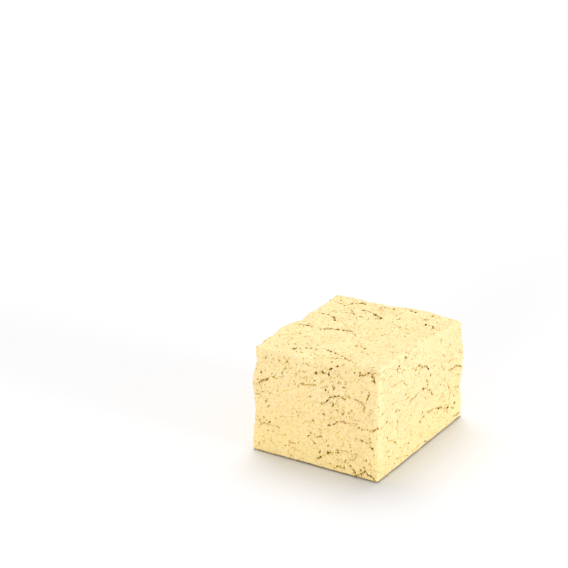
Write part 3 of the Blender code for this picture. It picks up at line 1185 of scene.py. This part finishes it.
    def crevices(self, obj: Object, skin: Skin) -> Iterator[tuple[Side, Vector, Vector]]:
        """The lowest edges of the crevices that the plain solid has.

        Args:
            obj: The plain block.
            skin: Its surface.

        Yields:
            For each edge, the side that it lies under, its start and the way to its end.
        """
        shape = bmesh.new()
        shape.from_mesh(obj.data)
        shape.normal_update()
        for edge in shape.edges:
            if edge.calc_face_angle_signed(0.0) > -self.least_fold:
                continue
            if min(face.calc_area() for face in edge.link_faces) < self.least_face:
                continue
            out = sum((face.normal for face in edge.link_faces), Vector()).normalized()
            first, last = (vert.co.copy() for vert in edge.verts)
            side = skin.side_of((first + last) / 2.0, out, self.crevice_depth)
            if side is not None:
                yield side, first, last - first
        shape.free()

    def worn_crevices(self, obj: Object, skin: Skin) -> Iterator[Hollow]:
        """Hollows along the plain solid's crevices. It notes the cracks along them too.

        Args:
            obj: The plain block.
            skin: Its surface.

        Yields:
            The hollows.
        """
        draw = random.Random(self.seed + 1)
        noise.seed_set(self.seed)
        for side, first, along in self.crevices(obj, skin):
            across, up, _ = side.ways
            turn = math.atan2(along.dot(up), along.dot(across))
            for _ in range(round(along.length / self.crack_spacing)):
                middle = first + along * draw.random()
                middle += noise.noise_vector(middle / self.wander_size) * self.crack_wander
                wave = noise.noise(middle / self.crack_patchiness)
                force = (self.evenness + self.unevenness * wave) * side.gape
                force *= self.sound_share + (1.0 - self.sound_share) * crumbly_at(middle)
                if force > self.least_crack:
                    spot = Spot(side, middle.dot(across), middle.dot(up), turn)
                    self.cracks.append((spot, min(force, 1.0)))
            for _ in range(max(1, round(along.length / self.hollow_spacing))):
                middle = first + along * draw.random()
                spot = Spot(side, middle.dot(across), middle.dot(up), turn)
                half = draw.uniform(*self.hollow_half)
                stray = draw.gauss(0.0, self.hollow_stray)
                yield Hollow(spot.beside(0.0, stray, draw.gauss(0.0, self.hollow_tilt)), half)

    def crumbly_spots(
        self, skin: Skin, per_cm2: float, tilt: float, draw: random.Random
    ) -> Iterator[Spot]:
        """Spots strewn over every side, closer where the block is more crumbly.

        Args:
            skin: The surface.
            per_cm2: How many there are on a square centimetre where it is most crumbly.
            tilt: How far they are turned, as a standard deviation. 0 turns them any way.
            draw: The random draw.

        Yields:
            The spots.
        """
        for side in Side:
            for spot in skin.spots(side, per_cm2, self.edge_margin, tilt, draw):
                chance = draw.random() * self.most_crumbly
                found = skin.hit(spot)
                if not found or chance >= crumbly_at(found[0]):
                    continue
                if skin.inland(spot, self.crisp_edge):
                    yield spot

    def holes(self, skin: Skin, draw: random.Random) -> Iterator[Hollow]:
        """The single hollows.

        Args:
            skin: The surface.
            draw: The random draw.

        Yields:
            The hollows.
        """
        for spot in self.crumbly_spots(skin, self.holes_per_cm2, self.hollow_tilt, draw):
            yield Hollow(spot, skewed(draw, self.least_hole, self.least_hole, 2))

    def bites(self, skin: Skin, draw: random.Random) -> Iterator[Bite]:
        """All that is nibbled out of the surface: the noted cracks, the rifts and the nicks.

        Args:
            skin: The surface.
            draw: The random draw.

        Yields:
            The bites.
        """
        for spot, force in self.cracks:
            yield Bite(spot, force, self.crack_lean, self.crevice_reach)
            if draw.random() < self.branches:
                turn = draw.choice((-1.0, 1.0)) * draw.uniform(*self.branch_turn)
                length = draw.uniform(*self.branch_length)
                branch = Rift(spot.beside(0.0, 0.0, turn), length, arch=0.5, strength=0.8, lean=0.3)
                yield from branch.bites(draw)
        for spot in self.crumbly_spots(skin, self.rifts_per_cm2, self.rift_tilt, draw):
            length, arch = skewed(draw, *self.rift_length), draw.uniform(*self.rift_arch)
            strength, lean = draw.uniform(*self.rift_strength), draw.gauss(0.0, self.lean)
            yield from Rift(spot, length, arch, strength, lean).bites(draw)
        for spot in self.crumbly_spots(skin, self.nicks_per_cm2, 0.0, draw):
            force = self.nick_force * draw.random() ** 3
            for _ in range(draw.choice(self.nick_clump)):
                along, sideways = (draw.gauss(0.0, self.nick_stray) for _ in range(2))
                yield Bite(spot.beside(along, sideways, 0.0), force, draw.gauss(0.0, self.lean))

    def carve(self, obj: Object, cuts: Sequence[Cut]) -> None:
        """Nibbles the bites out of the surface, raises their lips, and marks how dark it is left:
        painted shade in the bites and hollows, partly browner broken halva.

        Args:
            obj: The block.
            cuts: The hollows that are cut out already.
        """
        skin, points = Skin(obj), points_of(obj)
        tree = tree_of(points)
        depths, lifts, scar_shades = ([0.0] * len(points) for _ in range(3))
        pushes = np.zeros((len(points), 3))
        count = 0
        for bite in self.bites(skin, random.Random(self.seed + 2)):
            found = skin.hit(bite.spot)
            if found is None:
                continue
            count += 1
            middle, normal = found
            upward = bite.spot.side.ways[1]
            inward = (upward * bite.lean - normal).normalized()
            lip = self.crevice_lip if bite.crevice else self.lip
            if bite.crevice:
                self.shade_walls(bite, middle, skin, tree, scar_shades)
            for place, index, away in tree.find_range(middle, bite.reach * self.lip_width):
                near = away / bite.reach
                if near < 1.0:
                    depth = bite.depth * (1.0 - near * near)
                    if depth > depths[index]:
                        depths[index] = depth
                        pushes[index] = inward * depth
                    scar_shades[index] = max(scar_shades[index], bite.shade * (1.0 - near * near))
                elif (place - middle).dot(upward) > 0.0:
                    lift = lip * bite.force * (self.lip_width - near) / (self.lip_width - 1.0)
                    if lift > lifts[index] and depths[index] == 0.0:
                        lifts[index] = lift
                        pushes[index] = normal * lift
        put_points(obj, points + pushes)
        # The painted shade, partly browner broken halva, in the bites, the crevice walls and the
        # hollows.
        mark(obj.data, "scar_shade", np.maximum(np.array(scar_shades), self.scar_shades(points, cuts)))
        LOG.info("carved: %d bites", count)

    def shade_walls(
        self, bite: Bite, bottom: Vector, skin: Skin, tree: KDTree, scar_shades: list[float]
    ) -> None:
        """Paints shade on the wall that faces upwards in the crevice round a bite.

        Args:
            bite: The bite.
            bottom: Where it is.
            skin: The surface.
            tree: The surface's points.
            scar_shades: How dark each of them is left.
        """
        upward = bite.spot.side.ways[1]
        mouth = skin.level(bite.spot, bite.crevice).translation
        reach = bite.reach * self.wall_reach
        for share in self.wall_heights:
            wall = bottom.lerp(mouth, share) + upward * share * self.wall_slant
            for _, index, away in tree.find_range(wall, reach):
                shade = bite.force * (1.0 - (away / reach) ** 2) * (1.0 - self.wall_fade * share)
                scar_shades[index] = max(scar_shades[index], shade)

    def scar_shades(self, points: np.ndarray, cuts: Sequence[Cut]) -> np.ndarray:
        """How near each point is to a hollow's middle, times how dark that is: the hollows' painted
        shade, partly browner broken halva.

        Args:
            points: The points.
            cuts: The hollows.

        Returns:
            A value for each point, from 0 to 1.
        """
        tree = tree_of([cut.middle for cut in cuts])
        nearest = np.array([tree.find(point)[1:] for point in points])
        which = nearest[:, 0].astype(int)
        half, dark = np.array([(cut.half, cut.dark) for cut in cuts])[which].T
        return (1.0 - nearest[:, 1] / half).clip(0.0, 1.0) * dark

    def roughen(self, obj: Object) -> None:
        """Gives the surface its humps and its grain, but not the foot, which stays crisp."""
        name = "crumbly"
        group = obj.vertex_groups.new(name=name)
        share = np.clip((points_of(obj)[:, 2] - self.foot) / self.foot_fade, 0.0, 1.0)
        for level in range(1, self.foot_levels + 1):
            found = np.nonzero(np.rint(share * self.foot_levels) == level)[0]
            group.add(found.tolist(), level / self.foot_levels, "REPLACE")
        for relief in self.reliefs:
            texture = bpy.data.textures.new("relief", "CLOUDS")
            texture.noise_scale = relief.size
            texture.cloud_type = relief.colours
            apply_modifier(
                obj,
                "DISPLACE",
                texture=texture,
                strength=relief.height,
                mid_level=0.5,
                direction=relief.direction,
                texture_coords="LOCAL",
                vertex_group=name,
            )
            bpy.data.textures.remove(texture)
        obj.vertex_groups.clear()

    def mark_cavities(self, obj: Object) -> None:
        """Marks how deep each point lies below its smoothed surroundings, which the material paints
        as shade.
        """
        mesh = obj.data
        count = len(mesh.vertices)
        ends = np.empty(len(mesh.edges) * 2, np.int32)
        mesh.edges.foreach_get("vertices", ends)
        ends = ends.reshape(-1, 2)
        normals = np.empty(count * 3, np.float32)
        mesh.vertices.foreach_get("normal", normals)
        points = points_of(obj)
        both = np.concatenate([points, normals.reshape(-1, 3)], axis=1)
        starts = np.concatenate([ends[:, 0], ends[:, 1]])
        others = np.concatenate([ends[:, 1], ends[:, 0]])
        near = np.bincount(starts, minlength=count).clip(1)[:, None]
        for _ in range(self.smoothings):
            around = both[others]
            sums = [np.bincount(starts, around[:, i], count) for i in range(6)]
            both = np.stack(sums, axis=1) / near
        out = both[:, 3:] / np.linalg.norm(both[:, 3:], axis=1).clip(1e-9)[:, None]
        mark(mesh, "cavity", ((both[:, :3] - points) * out).sum(1) / self.cavity)

    def thin(self, obj: Object) -> None:
        """Thins the mesh where it is flat, to the most triangles that it may have."""
        obj.data.calc_loop_triangles()
        count = len(obj.data.loop_triangles)
        if count > self.most_triangles:
            apply_modifier(obj, "DECIMATE", ratio=self.most_triangles / count)

    def drop_scraps(self, obj: Object) -> None:
        """Deletes the few faces that thinning leaves loose, away from the lowest point."""
        open_mesh(obj, "DESELECT")
        close_mesh()
        obj.data.vertices[int(points_of(obj)[:, 2].argmin())].select = True
        bpy.ops.object.mode_set(mode="EDIT")
        bpy.ops.mesh.select_linked()
        bpy.ops.mesh.select_all(action="INVERT")
        bpy.ops.mesh.delete(type="VERT")
        close_mesh()

    def lift_rim(self, obj: Object) -> None:
        """Lifts the rim of the base unevenly, so that a thin dark gap shows under its edge."""
        points = points_of(obj)
        (low, high), (lift, unevenness) = self.rim_wall, self.rim_lift
        wall = points[(points[:, 2] > low) & (points[:, 2] < high)]
        tree = tree_of([(x, y, 0.0) for x, y, _ in wall])
        for i in np.nonzero(points[:, 2] < self.rim_height)[0]:
            x, y, z = points[i]
            inside = tree.find((x, y, 0.0))[2]
            share = (self.rim_width - inside) / (self.rim_slope * self.rim_width)
            here = lift + unevenness * noise.noise(Vector((x, y, 0.0)) / self.rim_waves)
            points[i, 2] = max(z, min(max(share, 0.0), 1.0) * min(here, 1.0) * self.rim_height)
        put_points(obj, points)


@dataclass
class Bits:
    """Small things of one kind pressed into the block, as one joined mesh. Sizes are in mm."""

    name: str
    finish: BitFinish
    seed: int
    per_cm2: float
    sizes: tuple[Triple, ...]
    scale: Span
    sunk: float
    knock: float
    clump: float = 6.0 * MM
    evenness: float = 0.6
    edge_margin: float = 0.3 * MM

    def build(self, skin: Skin, low: Vector, high: Vector) -> Object:
        """Strews them over the block.

        Args:
            skin: The finished block's surface.
            low: The lowest corner that they may reach.
            high: The highest corner.

        Returns:
            The object.
        """
        draw = random.Random(self.seed)
        shapes = []
        for i, size in enumerate(self.sizes):
            shapes.append(Pebble(tuple(side * MM for side in size), self.knock, i).shape())
        strewn = Strewn(self.name)
        for side in Side:
            for spot in skin.spots(side, self.per_cm2, self.edge_margin, 0.0, draw):
                chance, size, tone = draw.random(), draw.uniform(*self.scale), draw.random()
                place = skin.touch(spot)
                if place is None:
                    continue
                here = place.translation
                wave = noise.noise(here / self.clump + Vector((self.seed, 0.5, 0.5)))
                if chance > (self.evenness + wave) * crumbly_at(here):
                    continue
                shape = draw.choice(shapes)
                depth = self.sunk * size * float(shape.points[:, 2].max())
                sink = Matrix.Translation((0.0, 0.0, -depth))
                strewn.add(shape, place @ sink @ Matrix.Scale(size, 4), tone)
        obj = strewn.join()
        put_points(obj, np.clip(points_of(obj), np.array(low), np.array(high)))
        obj.data.materials.append(self.finish.material())
        LOG.info("%s: %d, %d faces", self.name, len(strewn.points), len(obj.data.polygons))
        return obj


BITS = (
    Bits(
        name="seed_hull_flecks",
        finish=SEED_HULL,
        seed=21,
        per_cm2=40.0,
        sizes=((0.26, 0.13, 0.10), (0.20, 0.17, 0.11), (0.36, 0.11, 0.09), (0.16, 0.13, 0.10)),
        scale=(0.5, 1.25),
        sunk=0.60,
        knock=0.6,
    ),
    Bits(
        name="pale_crumbs",
        finish=DRY_HALVA,
        seed=22,
        per_cm2=96.0,
        sizes=((0.36, 0.28, 0.20), (0.27, 0.24, 0.19), (0.46, 0.32, 0.20), (0.21, 0.18, 0.16)),
        scale=(0.45, 0.95),
        sunk=0.55,
        knock=0.4,
    ),
)


# --- the studio


@dataclass
class Lamp:
    """A large soft light from one direction, equally strong all over the table."""

    name: str
    place: Triple
    spread: float
    strength: float
    colour: Colour

    def build(self) -> None:
        """Hangs the lamp."""
        light = bpy.data.lights.new(self.name, "SUN")
        light.angle = math.radians(self.spread)
        light.energy = self.strength
        light.color = self.colour
        aim(new_object(self.name, light), Vector(self.place), -Vector(self.place))


@dataclass
class Studio:
    """A white table under even white light, lit from above its far side and from the near side."""

    azimuth: float = math.radians(30.73)
    elevation: float = math.radians(18.37)
    distance: float = 0.7
    target: Triple = (-44.74 * MM, 13.55 * MM, 56.13 * MM)
    lens: float = 100.9
    sensor: float = 36.0
    seen: Span = (0.01, 50.0)
    table: float = 8.0
    sky: float = 0.60
    seen_sky: float = 1.0
    lamps: tuple[Lamp, ...] = (
        Lamp("top_light", (-0.26, 0.40, 1.0), 44.0, 1.98, (1.0, 0.985, 1.0)),
        Lamp("right_fill", (1.2, -0.05, 0.13), 17.0, 1.80, (0.833, 0.864, 1.0)),
        Lamp("front_fill", (0.10, -1.2, 0.13), 17.0, 1.05, (1.0, 0.96, 0.87)),
    )

    def build(self) -> None:
        """Sets up the table, the light and the camera."""
        self.floor()
        self.light()
        self.camera()
        view = bpy.context.scene.view_settings
        view.view_transform = "Standard"
        view.look = "None"

    def floor(self) -> None:
        """The table."""
        start_clean()
        bpy.ops.mesh.primitive_plane_add(size=self.table)
        floor = bpy.context.object
        floor.name = "white_table"
        floor.data.materials.append(FloorFinish().material())

    def light(self) -> None:
        """The even light from all round, which the camera sees as white, and the lamps."""
        world = bpy.data.worlds.new("white_tent")
        bpy.context.scene.world = world
        world.use_nodes = True
        nodes, links = world.node_tree.nodes, world.node_tree.links
        background = nodes["Background"]
        background.inputs["Color"].default_value = (1.0, 1.0, 1.0, 1.0)
        seen = nodes.new("ShaderNodeMapRange")
        seen.inputs["To Min"].default_value = self.sky
        seen.inputs["To Max"].default_value = self.seen_sky
        rays = nodes.new("ShaderNodeLightPath")
        links.new(rays.outputs["Is Camera Ray"], seen.inputs["Value"])
        links.new(seen.outputs["Result"], background.inputs["Strength"])
        for lamp in self.lamps:
            lamp.build()

    def camera(self) -> None:
        """The camera, at the photograph's angle and framing."""
        data = bpy.data.cameras.new("camera")
        data.lens, data.sensor_width = self.lens, self.sensor
        data.clip_start, data.clip_end = self.seen
        flat = math.cos(self.elevation)
        ahead = Vector((
            -math.sin(self.azimuth) * flat,
            math.cos(self.azimuth) * flat,
            -math.sin(self.elevation),
        ))
        camera = new_object("camera", data)
        aim(camera, Vector(self.target) - ahead * self.distance, ahead)
        bpy.context.scene.camera = camera


def hand_over(obj: Object) -> None:
    """Makes a piece ride with the block."""
    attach(obj, BODY)


def main() -> None:
    """Builds every piece in order."""
    logging.basicConfig(level=logging.INFO, format="%(name)s: %(message)s", stream=sys.stdout)
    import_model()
    low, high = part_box(NODE)
    Studio().build()
    block = HalvaBlock().build()
    skin = Skin(block)
    hand_over(block)
    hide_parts(NODE)
    for bits in BITS:
        hand_over(bits.build(skin, low, high))


if __name__ == "__main__":
    main()
